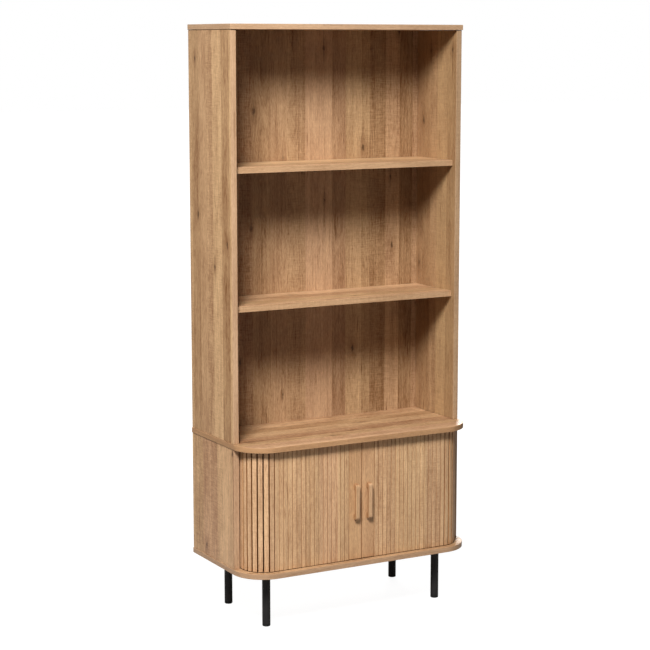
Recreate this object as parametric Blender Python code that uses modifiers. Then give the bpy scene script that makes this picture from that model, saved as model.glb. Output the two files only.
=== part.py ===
"""Bookcase with doors: an open upper cabinet on a cupboard with two tambour doors.

Metres, +Z up. The front faces -Y, and the origin is on the floor, under the middle of the object. The pieces are
placed from the rear edge of the boards, and the empty that carries them all moves them to the origin.
Each tambour curtain is a row of slats glued on cloth. Their ends run in a U-shaped track that is cut in the
middle board and in the bottom board, along the front, round the corner and back beside the side panel.
"""

import math

import bmesh
import bpy
from mathutils import Matrix

# Boards and panels
WIDTH = 0.800  # the top, middle and bottom boards, from side to side
SIDE_DEPTH = 0.290  # the side panels, from back to front
CORNER_RADIUS = 0.100  # front corners of the middle and bottom boards
BOARD_THICKNESS = 0.016  # top, middle and bottom boards
SIDE_THICKNESS = 0.018
SIDE_INSET = 0.0020  # the boards stand out this far beyond the side panels
TOP_LIP = 0.004  # the top board stands out this far in front of the side panels
SHELF_THICKNESS = 0.018
SHELF_SETBACK = 0.016  # shelf front behind the front of the side panels
PANEL_CHAMFER = 0.0007
JOINT_GAP = 0.0003  # between pieces that bear on each other

# Heights
LEG_HEIGHT = 0.167
CUPBOARD_HEIGHT = 0.370  # clear height between the bottom and middle boards
BAY_HEIGHTS = (0.393, 0.394, 0.401)  # clear heights of the open compartments, from the lowest up

# Back panels
BACK_THICKNESS = 0.005
UPPER_BACK_SETBACK = 0.057  # rear face of the upper back panel, from the rear edges
LOWER_BACK_SETBACK = 0.004
BACK_GROOVE_DEPTH = 0.006

# Tambour curtains and their track
SLAT_PITCH = 0.015
SLAT_GAP = 0.0016
SLAT_THICKNESS = 0.012
SLAT_CHAMFER = 0.0010
CLOTH_THICKNESS = 0.001
CLOTH_MARGIN = 0.010  # the cloth ends this far from the boards
CURTAIN_INSET = 0.022  # slat faces behind the front edge of the boards
TURN_INSET = 0.026  # slat faces behind the side edges of the boards, clear of the side panels
TRACK_CLEARANCE = 0.001
TRACK_DEPTH = 0.006
TRACK_END_GAP = 0.001  # between a slat's end and the bottom of the track
TRACK_REAR_WALL = 0.003  # from the track's end to the lower back panel
STILE_WIDTH = 0.045
STILE_THICKNESS = 0.016
STILE_BOARD_GAP = 0.0015  # between the stile's shoulders and the boards
MEETING_GAP = 0.001  # between the two stiles when the doors are shut
SECTION_SLATS = 3  # slats in one flat section of the curtain
SECTION_GAP = 0.0004
TAIL_SLATS = 1

# Liners inside the cupboard
LINER_THICKNESS = 0.005
LINER_GAP = 0.003  # between the liner and the cloth

# Handles
HANDLE_LENGTH = 0.111
HANDLE_WIDTH = 0.0135
HANDLE_PROJECTION = 0.016
HANDLE_DROP = 0.002  # the handle's middle below the middle of the cupboard
HANDLE_END_RADIUS = 0.008
HANDLE_FOOT = 0.017  # length of each foot on the stile
FINGER_GAP_DEPTH = 0.0075
FINGER_GAP_RADIUS = 0.006
HANDLE_CHAMFER = 0.0010

# Legs
LEG_RADIUS = 0.0125
LEG_WALL = 0.0015
LEG_SIDE_INSET = 0.098  # leg axis from the side edge of the bottom board
LEG_REAR_INSET = 0.050
LEG_FRONT_INSET = 0.078
PLATE_RADIUS = 0.028
PLATE_THICKNESS = 0.0025
PLATE_BOSS_LENGTH = 0.014
PLATE_HOLE_RADIUS = 0.0023
PLATE_HOLE_CIRCLE = 0.020
PLATE_HOLES = 3
PLUG_CLEARANCE = 0.0003
FOOT_HEIGHT = 0.009
FOOT_PLUG_LENGTH = 0.018
FOOT_ROUND = 0.0022
TURNED_STEPS = 32
CORNER_STEPS = 20

# Worked out from the sizes above
BOARD_DEPTH = SIDE_DEPTH + CORNER_RADIUS
SIDE_OUTER = WIDTH / 2 - SIDE_INSET
SIDE_INNER = SIDE_OUTER - SIDE_THICKNESS
BOTTOM_Z = LEG_HEIGHT
BOTTOM_TOP_Z = BOTTOM_Z + BOARD_THICKNESS
MIDDLE_Z = BOTTOM_TOP_Z + CUPBOARD_HEIGHT
MIDDLE_TOP_Z = MIDDLE_Z + BOARD_THICKNESS
TOP_Z = MIDDLE_TOP_Z + sum(BAY_HEIGHTS) + (len(BAY_HEIGHTS) - 1) * SHELF_THICKNESS
UPPER_BACK_FRONT = UPPER_BACK_SETBACK + BACK_THICKNESS
LOWER_BACK_FRONT = LOWER_BACK_SETBACK + BACK_THICKNESS
TURN_RADIUS = CORNER_RADIUS - TURN_INSET  # faces of the slats round the corner
TURN_DEPTH = BOARD_DEPTH - CURTAIN_INSET - TURN_RADIUS  # middle of the turn, from the rear edges
CLOTH_RADIUS = TURN_RADIUS - SLAT_THICKNESS - CLOTH_THICKNESS / 2  # the cloth's middle round the corner
FRONT_RUN = WIDTH / 2 - CORNER_RADIUS  # from the middle of the front to where the corner starts
CORNER_RUN = CLOTH_RADIUS * math.pi / 2
SLAT_LOW_Z = BOTTOM_TOP_Z - TRACK_DEPTH + TRACK_END_GAP
SLAT_HIGH_Z = MIDDLE_Z + TRACK_DEPTH - TRACK_END_GAP
CUPBOARD_MID_Z = (BOTTOM_TOP_Z + MIDDLE_Z) / 2
STILE_FACE_Y = -(BOARD_DEPTH - CURTAIN_INSET)

# Outlines drawn upright: local X is up, local Y is towards the front and local Z is to the right
UPRIGHT = Matrix(((0, 0, 1), (0, -1, 0), (1, 0, 0)))


def clear_scene():
    for obj in list(bpy.data.objects):
        bpy.data.objects.remove(obj)


def make_collection(name):
    made = bpy.data.collections.new(name)
    bpy.context.scene.collection.children.link(made)
    return made


def make_material(name, colour, roughness, metallic=0.0):
    material = bpy.data.materials.new(name)
    material.use_nodes = True
    shader = material.node_tree.nodes["Principled BSDF"]
    shader.inputs["Base Color"].default_value = (*colour, 1.0)
    shader.inputs["Roughness"].default_value = roughness
    shader.inputs["Metallic"].default_value = metallic
    return material


def add_object(name, mesh, collection, material=None, location=(0, 0, 0), parent=None):
    """A new object for the mesh, in its collection, with its material and its place."""
    obj = bpy.data.objects.new(name, mesh)
    collection.objects.link(obj)
    obj.parent = parent or bpy.data.objects["cabinet"]
    obj.location = location
    if material:
        mesh.materials.append(material)
    return obj


def make_empty(name, collection, location, parent=None):
    empty = bpy.data.objects.new(name, None)
    empty.empty_display_size = 0.05
    collection.objects.link(empty)
    empty.parent = parent
    empty.location = location
    return empty


def arc(centre, radius, start, end, steps):
    """Points on an arc from one angle to another, in degrees."""
    angles = [math.radians(start + (end - start) * i / steps) for i in range(steps + 1)]
    return [(centre[0] + radius * math.cos(a), centre[1] + radius * math.sin(a)) for a in angles]


def prism(name, outlines, height):
    """A mesh made from flat closed outlines, extruded by half the height up and down."""
    curve = bpy.data.curves.new(name, "CURVE")
    curve.dimensions = "2D"
    curve.fill_mode = "BOTH"
    curve.extrude = height / 2
    for outline in outlines:
        spline = curve.splines.new("POLY")
        spline.points.add(len(outline) - 1)
        for point, (x, y) in zip(spline.points, outline):
            point.co = (x, y, 0, 1)
        spline.use_cyclic_u = True
    drawn = bpy.data.objects.new(name, curve)
    bpy.context.scene.collection.objects.link(drawn)
    graph = bpy.context.evaluated_depsgraph_get()
    mesh = bpy.data.meshes.new_from_object(drawn.evaluated_get(graph))
    bpy.data.objects.remove(drawn)
    bpy.data.curves.remove(curve)
    shape = bmesh.new()
    shape.from_mesh(mesh)
    bmesh.ops.remove_doubles(shape, verts=shape.verts, dist=1e-6)
    bmesh.ops.dissolve_limit(shape, angle_limit=0.001, verts=shape.verts, edges=shape.edges)
    bmesh.ops.recalc_face_normals(shape, faces=shape.faces)
    shape.to_mesh(mesh)
    shape.free()
    mesh.name = name
    return mesh


def box_mesh(name, size):
    mesh = bpy.data.meshes.new(name)
    shape = bmesh.new()
    bmesh.ops.create_cube(shape, size=1)
    bmesh.ops.scale(shape, vec=size, verts=shape.verts)
    shape.to_mesh(mesh)
    shape.free()
    return mesh


def box_between(name, low, high, collection, material=None, parent=None):
    """A box object from its low corner to its high corner."""
    size = [b - a for a, b in zip(low, high)]
    middle = [(a + b) / 2 for a, b in zip(low, high)]
    return add_object(name, box_mesh(name, size), collection, material, middle, parent)


def chamfer(obj, width, segments=1):
    bevel = obj.modifiers.new("edges", "BEVEL")
    bevel.width = width
    bevel.segments = segments
    bevel.limit_method = "ANGLE"
    bevel.angle_limit = math.radians(50)


def boolean(obj, other, operation):
    cut = obj.modifiers.new(other.name, "BOOLEAN")
    cut.operation = operation
    cut.solver = "EXACT"
    cut.object = other


def as_helper(obj):
    obj.hide_render = True
    obj.display_type = "WIRE"
    return obj


def turned(name, profile, collection, material, location, parent=None):
    """A turned piece. Its profile is (radius, height) points from the top down, starting and ending on the axis."""
    mesh = bpy.data.meshes.new(name)
    shape = bmesh.new()
    points = [shape.verts.new((radius, 0, height)) for radius, height in profile]
    for first, second in zip(points, points[1:]):
        shape.edges.new((first, second))
    shape.to_mesh(mesh)
    shape.free()
    obj = add_object(name, mesh, collection, material, location, parent)
    screw = obj.modifiers.new("turn", "SCREW")
    screw.steps = TURNED_STEPS
    screw.render_steps = TURNED_STEPS
    screw.use_merge_vertices = True
    screw.merge_threshold = 0.00001
    screw.use_smooth_shade = True
    return obj


def rounded_outline(radius, depth):
    """An outline with straight sides and rounded front corners, whose middles are at this depth."""
    half = FRONT_RUN + radius
    left = arc((-FRONT_RUN, -depth), radius, 180, 270, CORNER_STEPS)
    right = arc((FRONT_RUN, -depth), radius, 270, 360, CORNER_STEPS)
    return [(-half, 0), *left, *right, (half, 0)]


def track_cutter(name, middle_z, collection):
    """The U-shaped band that the slat ends run in, a little wider than the slats and their cloth."""
    outer = rounded_outline(TURN_RADIUS + TRACK_CLEARANCE, TURN_DEPTH)
    inner = rounded_outline(CLOTH_RADIUS - CLOTH_THICKNESS / 2 - TRACK_CLEARANCE, TURN_DEPTH)
    rear = -(LOWER_BACK_FRONT + TRACK_REAR_WALL)
    for band in (outer, inner):
        band[0] = (band[0][0], rear)
        band[-1] = (band[-1][0], rear)
    mesh = prism(name, [outer + inner[::-1]], 2 * TRACK_DEPTH)
    return as_helper(add_object(name, mesh, collection, location=(0, 0, middle_z)))


def back_groove(name, setback, low, high, collection):
    """The cutter that a back panel's edges sit in, reaching past the clear opening on all four sides."""
    reach = BACK_GROOVE_DEPTH
    return as_helper(
        box_between(
            name,
            (-SIDE_INNER - reach, -(setback + BACK_THICKNESS + JOINT_GAP), low - reach),
            (SIDE_INNER + reach, -(setback - JOINT_GAP), high + reach),
            collection,
        )
    )


def back_panel(name, setback, low, high, collection, material):
    reach = BACK_GROOVE_DEPTH - JOINT_GAP
    return box_between(
        name,
        (-SIDE_INNER - reach, -(setback + BACK_THICKNESS), low - reach),
        (SIDE_INNER + reach, -setback, high + reach),
        collection,
        material,
    )


def rounded_board(name, low_z, collection, material):
    mesh = prism(name, [rounded_outline(CORNER_RADIUS, SIDE_DEPTH)], BOARD_THICKNESS)
    board = add_object(name, mesh, collection, material, (0, 0, low_z + BOARD_THICKNESS / 2))
    chamfer(board, PANEL_CHAMFER)
    return board


def side_panels(prefix, low, high, groove, collection, material):
    """A left and a right side panel between two boards, grooved inside for the back panel."""
    for name, side in ((prefix + "_left", -1), (prefix + "_right", 1)):
        edges = sorted((side * SIDE_INNER, side * SIDE_OUTER))
        panel = box_between(
            name,
            (edges[0], -SIDE_DEPTH, low + JOINT_GAP),
            (edges[1], 0, high - JOINT_GAP),
            collection,
            material,
        )
        chamfer(panel, PANEL_CHAMFER)
        boolean(panel, groove, "DIFFERENCE")


def build_upper_cabinet(parts, groove, wood):
    side_panels("upper_side", MIDDLE_TOP_Z, TOP_Z, groove, parts, wood)
    back_panel("upper_back", UPPER_BACK_SETBACK, MIDDLE_TOP_Z, TOP_Z, parts, wood)
    top = box_between(
        "top_board",
        (-WIDTH / 2, -(SIDE_DEPTH + TOP_LIP), TOP_Z),
        (WIDTH / 2, 0, TOP_Z + BOARD_THICKNESS),
        parts,
        wood,
    )
    chamfer(top, PANEL_CHAMFER)
    boolean(top, groove, "DIFFERENCE")
    for index, name in enumerate(("shelf_lower", "shelf_upper")):
        low = MIDDLE_TOP_Z + sum(BAY_HEIGHTS[: index + 1]) + index * SHELF_THICKNESS
        shelf = box_between(
            name,
            (-SIDE_INNER + JOINT_GAP, -(SIDE_DEPTH - SHELF_SETBACK), low),
            (SIDE_INNER - JOINT_GAP, -(UPPER_BACK_FRONT + JOINT_GAP), low + SHELF_THICKNESS),
            parts,
            wood,
        )
        chamfer(shelf, PANEL_CHAMFER)


def build_cupboard(parts, helpers, upper_groove, wood):
    lower_groove = back_groove(
        "lower_back_groove", LOWER_BACK_SETBACK, BOTTOM_TOP_Z, MIDDLE_Z, helpers
    )
    bottom = rounded_board("bottom_board", BOTTOM_Z, parts, wood)
    boolean(bottom, track_cutter("bottom_track", BOTTOM_TOP_Z, helpers), "DIFFERENCE")
    boolean(bottom, lower_groove, "DIFFERENCE")
    middle = rounded_board("middle_board", MIDDLE_Z, parts, wood)
    boolean(middle, track_cutter("middle_track", MIDDLE_Z, helpers), "DIFFERENCE")
    boolean(middle, lower_groove, "DIFFERENCE")
    boolean(middle, upper_groove, "DIFFERENCE")
    side_panels("lower_side", BOTTOM_TOP_Z, MIDDLE_Z, lower_groove, parts, wood)
    back_panel("lower_back", LOWER_BACK_SETBACK, BOTTOM_TOP_Z, MIDDLE_Z, parts, wood)
    liner_outer = FRONT_RUN + CLOTH_RADIUS - CLOTH_THICKNESS / 2 - LINER_GAP
    for name, side in (("liner_left", -1), ("liner_right", 1)):
        edges = sorted((side * (liner_outer - LINER_THICKNESS), side * liner_outer))
        box_between(
            name,
            (edges[0], -SIDE_DEPTH, BOTTOM_TOP_Z + JOINT_GAP),
            (edges[1], -(LOWER_BACK_FRONT + JOINT_GAP), MIDDLE_Z - JOINT_GAP),
            parts,
            wood,
        )


def curtain_place(run):
    """The point on the right-hand cloth line at this distance from the middle of the front, and the angle that
    the line has turned through there."""
    if run <= FRONT_RUN:
        return run, -(TURN_DEPTH + CLOTH_RADIUS), 0.0
    turn = (run - FRONT_RUN) / CLOTH_RADIUS
    if turn <= math.pi / 2:
        across = FRONT_RUN + CLOTH_RADIUS * math.sin(turn)
        return across, -(TURN_DEPTH + CLOTH_RADIUS * math.cos(turn)), turn
    beyond = run - FRONT_RUN - CORNER_RUN
    return FRONT_RUN + CLOTH_RADIUS, -TURN_DEPTH + beyond, math.pi / 2


def curtain_point(run, along, out, side):
    """A point near the cloth line, offset along the line and outwards from it. The left curtain is mirrored."""
    x, y, turn = curtain_place(run)
    x += along * math.cos(turn) + out * math.sin(turn)
    y += along * math.sin(turn) - out * math.cos(turn)
    return side * x, y


def slat_outline(run, side):
    """The section of one slat, whose middle is at this run, with its two front edges chamfered."""
    half = (SLAT_PITCH - SLAT_GAP) / 2
    face = CLOTH_THICKNESS / 2 + SLAT_THICKNESS
    corners = [
        (-half, 0),
        (-half, face - SLAT_CHAMFER),
        (-half + SLAT_CHAMFER, face),
        (half - SLAT_CHAMFER, face),
        (half, face - SLAT_CHAMFER),
        (half, 0),
    ]
    return [curtain_point(run, along, out, side) for along, out in corners]


def cloth_outline(start, end, side):
    """The section of the cloth between two runs, with points close enough to follow the corner."""
    steps = max(1, round((end - start) / (SLAT_PITCH / 4)))
    runs = [start + (end - start) * i / steps for i in range(steps + 1)]
    if end <= FRONT_RUN:
        runs = [start, end]
    half = CLOTH_THICKNESS / 2
    front = [curtain_point(run, 0, half, side) for run in runs]
    back = [curtain_point(run, 0, -half, side) for run in reversed(runs)]
    return front + back


def curtain_section(name, first, count, side, parts, helpers, material, parent):
    """A number of slats in a row, counted from the stile, joined by the cloth they are glued to."""
    start = STILE_WIDTH + first * SLAT_PITCH
    end = start + count * SLAT_PITCH
    middle = (0, 0, CUPBOARD_MID_Z)
    slats = prism(
        name + "_slats",
        [slat_outline(start + (i + 0.5) * SLAT_PITCH, side) for i in range(count)],
        SLAT_HIGH_Z - SLAT_LOW_Z,
    )
    strips = as_helper(add_object(name + "_slats", slats, helpers, location=middle))
    cloth = prism(
        name,
        [cloth_outline(start + SECTION_GAP / 2, end - SECTION_GAP / 2, side)],
        CUPBOARD_HEIGHT - 2 * CLOTH_MARGIN,
    )
    section = add_object(name, cloth, parts, material, middle)
    boolean(section, strips, "UNION")
    if parent:
        section.parent = parent
        section.matrix_parent_inverse = Matrix.Translation(parent.location).inverted()
        strips.parent = parent
        strips.matrix_parent_inverse = section.matrix_parent_inverse


def stile_outline():
    """The stile's section seen from the side: a thick body with a tongue at each end that runs in the track."""
    shoulder = CUPBOARD_HEIGHT / 2 - STILE_BOARD_GAP
    tip = (SLAT_HIGH_Z - SLAT_LOW_Z) / 2
    tongue = SLAT_THICKNESS + CLOTH_THICKNESS
    return [
        (-tip, 0),
        (tip, 0),
        (tip, -tongue),
        (shoulder, -tongue),
        (shoulder, -STILE_THICKNESS),
        (-shoulder, -STILE_THICKNESS),
        (-shoulder, -tongue),
        (-tip, -tongue),
    ]


def handle_outline():
    """The handle seen from the side: a bar with rounded ends on two feet, with a finger gap between them."""
    half = HANDLE_LENGTH / 2
    round_end = HANDLE_END_RADIUS
    gap_half = half - HANDLE_FOOT
    top = arc((half - round_end, HANDLE_PROJECTION - round_end), round_end, 0, 90, 8)
    bottom = arc((-half + round_end, HANDLE_PROJECTION - round_end), round_end, 90, 180, 8)
    centre = FINGER_GAP_DEPTH - FINGER_GAP_RADIUS
    gap_low = arc((-gap_half + FINGER_GAP_RADIUS, centre), FINGER_GAP_RADIUS, 180, 90, 6)
    gap_high = arc((gap_half - FINGER_GAP_RADIUS, centre), FINGER_GAP_RADIUS, 90, 0, 6)
    return [(half, 0), *top, *bottom, (-half, 0), (-gap_half, 0), *gap_low, *gap_high, (gap_half, 0)]


def build_door(side_name, side, parts, helpers, wood, handle_wood):
    """One door: its stile and handle, and the curtain behind them in sections."""
    stile_middle = side * STILE_WIDTH / 2
    cabinet = bpy.data.objects["cabinet"]
    lead_place = (stile_middle, STILE_FACE_Y, CUPBOARD_MID_Z)
    lead = make_empty(f"door_{side_name}", parts, lead_place, cabinet)
    width = STILE_WIDTH - MEETING_GAP / 2 - SECTION_GAP / 2
    stile_mesh = prism(f"stile_{side_name}", [stile_outline()], width)
    shift = side * (MEETING_GAP - SECTION_GAP) / 4
    stile = add_object(f"stile_{side_name}", stile_mesh, parts, wood, (shift, 0, 0), lead)
    stile.rotation_euler = UPRIGHT.to_euler()
    chamfer(stile, SLAT_CHAMFER)
    handle_mesh = prism(f"handle_{side_name}", [handle_outline()], HANDLE_WIDTH)
    place = (0, -JOINT_GAP, -HANDLE_DROP)
    handle = add_object(f"handle_{side_name}", handle_mesh, parts, handle_wood, place, lead)
    handle.rotation_euler = UPRIGHT.to_euler()
    chamfer(handle, HANDLE_CHAMFER)

    flat_slats = int((FRONT_RUN - STILE_WIDTH) / SLAT_PITCH + 0.001)
    first = 0
    number = 1
    while first < flat_slats:
        count = min(SECTION_SLATS, flat_slats - first)
        name = f"curtain_{side_name}_{number}"
        middle = side * (STILE_WIDTH + (first + count / 2) * SLAT_PITCH)
        place = (middle, STILE_FACE_Y, CUPBOARD_MID_Z)
        carrier = make_empty(name + "_line", parts, place, cabinet)
        curtain_section(name, first, count, side, parts, helpers, wood, carrier)
        first += count
        number += 1
    corner_end = FRONT_RUN + CORNER_RUN - STILE_WIDTH
    corner_slats = math.ceil(corner_end / SLAT_PITCH) - flat_slats
    curtain_section(
        f"curtain_{side_name}_corner", flat_slats, corner_slats, side, parts, helpers, wood, None
    )
    tail_first = flat_slats + corner_slats
    tail_run = STILE_WIDTH + (tail_first + TAIL_SLATS / 2) * SLAT_PITCH
    x, y, _ = curtain_place(tail_run)
    tail = make_empty(f"tail_{side_name}_line", parts, (side * x, y, CUPBOARD_MID_Z), cabinet)
    curtain_section(
        f"curtain_{side_name}_tail", tail_first, TAIL_SLATS, side, parts, helpers, wood, tail
    )


def build_leg(corner, x, y, parts, helpers, steel, plastic):
    """A leg: a tube between the boss of its mounting plate and the plug of its foot."""
    plug = LEG_RADIUS - LEG_WALL - PLUG_CLEARANCE
    plate_low = BOTTOM_Z - JOINT_GAP - PLATE_THICKNESS
    plate_profile = [
        (0, PLATE_THICKNESS),
        (PLATE_RADIUS, PLATE_THICKNESS),
        (PLATE_RADIUS, 0),
        (plug, 0),
        (plug, -PLATE_BOSS_LENGTH),
        (0, -PLATE_BOSS_LENGTH),
    ]
    plate = turned(f"leg_plate_{corner}", plate_profile, parts, steel, (x, y, plate_low))
    for index in range(PLATE_HOLES):
        angle = 2 * math.pi * index / PLATE_HOLES
        mesh = bpy.data.meshes.new(f"plate_hole_{corner}_{index}")
        shape = bmesh.new()
        bmesh.ops.create_cone(
            shape,
            cap_ends=True,
            segments=12,
            radius1=PLATE_HOLE_RADIUS,
            radius2=PLATE_HOLE_RADIUS,
            depth=4 * PLATE_THICKNESS,
        )
        shape.to_mesh(mesh)
        shape.free()
        place = (
            x + PLATE_HOLE_CIRCLE * math.cos(angle),
            y + PLATE_HOLE_CIRCLE * math.sin(angle),
            plate_low + PLATE_THICKNESS / 2,
        )
        boolean(plate, as_helper(add_object(mesh.name, mesh, helpers, location=place)), "DIFFERENCE")

    tube_top = plate_low - JOINT_GAP
    tube_low = FOOT_HEIGHT + JOINT_GAP
    bore = LEG_RADIUS - LEG_WALL
    tube_profile = [
        (bore, tube_top),
        (LEG_RADIUS, tube_top),
        (LEG_RADIUS, tube_low),
        (bore, tube_low),
        (bore, tube_top),
    ]
    turned(f"leg_{corner}", tube_profile, parts, steel, (x, y, 0))

    edge = arc((LEG_RADIUS - FOOT_ROUND, FOOT_ROUND), FOOT_ROUND, 0, -90, 5)
    foot_profile = [
        (0, FOOT_HEIGHT + FOOT_PLUG_LENGTH),
        (plug, FOOT_HEIGHT + FOOT_PLUG_LENGTH),
        (plug, FOOT_HEIGHT),
        (LEG_RADIUS, FOOT_HEIGHT),
        *edge,
        (0, 0),
    ]
    turned(f"foot_{corner}", foot_profile, parts, plastic, (x, y, 0))


def main():
    clear_scene()
    parts = make_collection("bookcase_with_doors")
    helpers = make_collection("helpers")
    make_empty("cabinet", parts, (0, BOARD_DEPTH / 2, 0))
    wood = make_material("oak_board", (0.47, 0.29, 0.16), 0.55)
    slat_wood = make_material("oak_slats", (0.50, 0.31, 0.17), 0.55)
    handle_wood = make_material("handle_wood", (0.54, 0.33, 0.17), 0.45)
    steel = make_material("black_steel", (0.016, 0.015, 0.016), 0.45, 0.6)
    plastic = make_material("black_plastic", (0.010, 0.010, 0.010), 0.6)

    upper_groove = back_groove(
        "upper_back_groove", UPPER_BACK_SETBACK, MIDDLE_TOP_Z, TOP_Z, helpers
    )
    build_upper_cabinet(parts, upper_groove, wood)
    build_cupboard(parts, helpers, upper_groove, wood)
    build_door("left", -1, parts, helpers, slat_wood, handle_wood)
    build_door("right", 1, parts, helpers, slat_wood, handle_wood)
    leg_x = WIDTH / 2 - LEG_SIDE_INSET
    rear_y = -LEG_REAR_INSET
    front_y = -(BOARD_DEPTH - LEG_FRONT_INSET)
    for corner, x, y in (
        ("front_left", -leg_x, front_y),
        ("front_right", leg_x, front_y),
        ("rear_left", -leg_x, rear_y),
        ("rear_right", leg_x, rear_y),
    ):
        build_leg(corner, x, y, parts, helpers, steel, plastic)


main()
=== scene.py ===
# %% [markdown]
# A bookcase with doors: an open upper cabinet stands on a cupboard with rounded front corners. The cupboard is
# shut by two tambour doors, which are rows of slats glued on cloth that slide sideways and bend round the corner.
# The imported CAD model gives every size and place. This lesson dresses it: flat boards keep their CAD shape and
# get a wood finish, and the rounded, turned and slatted pieces are made again with softer edges.

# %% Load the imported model
import math

import bmesh
import bpy
from mathutils import Matrix, Vector


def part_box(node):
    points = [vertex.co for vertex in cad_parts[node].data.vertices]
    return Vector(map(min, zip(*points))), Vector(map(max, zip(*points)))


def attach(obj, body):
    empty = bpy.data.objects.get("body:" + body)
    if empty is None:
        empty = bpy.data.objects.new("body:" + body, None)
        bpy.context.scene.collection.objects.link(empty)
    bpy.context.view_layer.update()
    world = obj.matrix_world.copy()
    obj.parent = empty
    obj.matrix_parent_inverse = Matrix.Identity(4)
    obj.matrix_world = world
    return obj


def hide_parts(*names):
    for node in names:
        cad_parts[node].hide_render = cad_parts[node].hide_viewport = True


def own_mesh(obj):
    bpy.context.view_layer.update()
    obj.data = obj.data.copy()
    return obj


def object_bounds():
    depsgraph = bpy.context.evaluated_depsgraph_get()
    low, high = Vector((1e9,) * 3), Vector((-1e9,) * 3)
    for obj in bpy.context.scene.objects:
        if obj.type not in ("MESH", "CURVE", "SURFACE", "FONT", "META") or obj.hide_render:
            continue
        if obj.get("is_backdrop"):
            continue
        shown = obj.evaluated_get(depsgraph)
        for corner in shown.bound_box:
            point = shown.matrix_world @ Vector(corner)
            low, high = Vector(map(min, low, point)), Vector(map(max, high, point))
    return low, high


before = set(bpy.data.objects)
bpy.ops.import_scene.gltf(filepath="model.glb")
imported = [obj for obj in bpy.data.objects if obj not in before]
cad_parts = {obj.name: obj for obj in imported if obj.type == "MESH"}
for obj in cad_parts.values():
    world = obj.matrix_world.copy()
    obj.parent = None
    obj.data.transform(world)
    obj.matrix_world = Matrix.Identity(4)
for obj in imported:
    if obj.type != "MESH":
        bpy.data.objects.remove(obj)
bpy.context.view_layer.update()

board_low, board_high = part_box("middle_board")

# %% [markdown]
# Every material and Geometry Nodes tree below is built from nodes in code. Small helpers keep that readable: they
# add a node and fill its inputs, do arithmetic, and start a group with named sockets.

# %% Helpers for node trees
def feed(tree, socket, value):
    """Fills an input with a plain value, or links it to a node's first output, or to the output that is given."""
    if isinstance(value, bpy.types.Node):
        value = value.outputs[0]
    if isinstance(value, bpy.types.NodeSocket):
        tree.links.new(value, socket)
    else:
        socket.default_value = value


def fill(tree, target, inputs):
    for key, value in inputs.items():
        feed(tree, target.inputs[key], value)


def node(tree, kind, inputs=None, **options):
    made = tree.nodes.new(kind)
    for name, value in options.items():
        setattr(made, name, value)
    fill(tree, made, inputs or {})
    return made


def calc(tree, operation, *values):
    made = node(tree, "ShaderNodeMath", operation=operation)
    for socket, value in zip(made.inputs, values):
        feed(tree, socket, value)
    return made


def node_group(name, kind, inputs, outputs):
    """A group with named inputs and outputs. Returns it with what its inputs give, and the node of its outputs."""
    group = bpy.data.node_groups.new(name, kind)
    for label, socket, value in inputs:
        made = group.interface.new_socket(label, in_out="INPUT", socket_type="NodeSocket" + socket)
        if value is not None:
            made.default_value = value
    for label, socket in outputs:
        group.interface.new_socket(label, in_out="OUTPUT", socket_type="NodeSocket" + socket)
    return group, group.nodes.new("NodeGroupInput").outputs, group.nodes.new("NodeGroupOutput")


# %% [markdown]
# The boards wear a printed oak decor: planks a few centimetres wide, each of its own tone, with streaks, pores,
# faint growth rings and a knot here and there. A picture wrapped round them would repeat, and blur close up, so
# the decor is built from noise that is stretched along the grain. It is one shader group, because boards, slats,
# edges and handles all use it, each with its own values.

# %% Shader helpers: places, noise, ramps and mixes
def combine(tree, x, y, z):
    return node(tree, "ShaderNodeCombineXYZ", {0: x, 1: y, 2: z})


def split(tree, vector):
    return node(tree, "ShaderNodeSeparateXYZ", {0: vector}).outputs


def scaled(tree, vector, scale):
    return node(tree, "ShaderNodeVectorMath", {0: vector, "Scale": scale}, operation="SCALE")


def object_position(tree):
    """Where a point lies on its object, in metres from the origin."""
    return node(tree, "ShaderNodeTexCoord").outputs["Object"]


def noise(tree, vector, detail=2.0, roughness=0.5):
    inputs = {"Vector": vector, "Scale": 1.0, "Detail": detail, "Roughness": roughness}
    return node(tree, "ShaderNodeTexNoise", inputs)


def ramp(tree, value, start, end, low=0.0, high=1.0):
    """Goes smoothly from low to high while the value goes from start to end."""
    inputs = {"Value": value, "From Min": start, "From Max": end, "To Min": low, "To Max": high}
    return node(tree, "ShaderNodeMapRange", inputs, interpolation_type="SMOOTHSTEP")


def mix_colour(tree, factor, first, second, blend="MIX"):
    made = node(tree, "ShaderNodeMix", {0: factor, 6: first, 7: second}, data_type="RGBA", blend_type=blend)
    return made.outputs[2]


# %% The oak decor: knots and planks
KNOT_SPACING = (0.13, 0.31)  # across and along the grain
KNOT_STRETCH = 0.45  # knots are drawn out along the grain
KNOTLESS = 0.40  # share of the places for a knot that have none
KNOT_SIZE, KNOT_GROWTH = 0.0024, 0.0042  # the smallest knot, and how much larger the largest is
CRACK_LENGTH, CRACK_GROWTH = 0.006, 0.090
RING_WAVES = 1150.0  # growth rings, in radians to the metre
LIGHT_OAK = (0.70, 0.445, 0.25, 1)
DARK_OAK = (0.21, 0.092, 0.036, 1)
KNOT_BROWN = (0.06, 0.028, 0.013, 1)
oak, given, result = node_group(
    "oak_decor",
    "ShaderNodeTree",
    [
        ("Grain Position", "Vector", None),  # X across the grain, Y into the board, Z along the grain, in metres
        ("Plank Width", "Float", 0.05),
        ("Plank Contrast", "Float", 1.0),
        ("Streak Contrast", "Float", 1.0),
        ("Hue Spread", "Float", 1.0),
        ("Knots", "Float", 1.0),
        ("Light Wood", "Color", LIGHT_OAK),
        ("Dark Wood", "Color", DARK_OAK),
    ],
    [("Color", "Color"), ("Relief", "Float"), ("Sheen", "Float")],
)
across, into, along = split(oak, given["Grain Position"])


def times(first, second):
    return calc(oak, "MULTIPLY", first, second)


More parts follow.
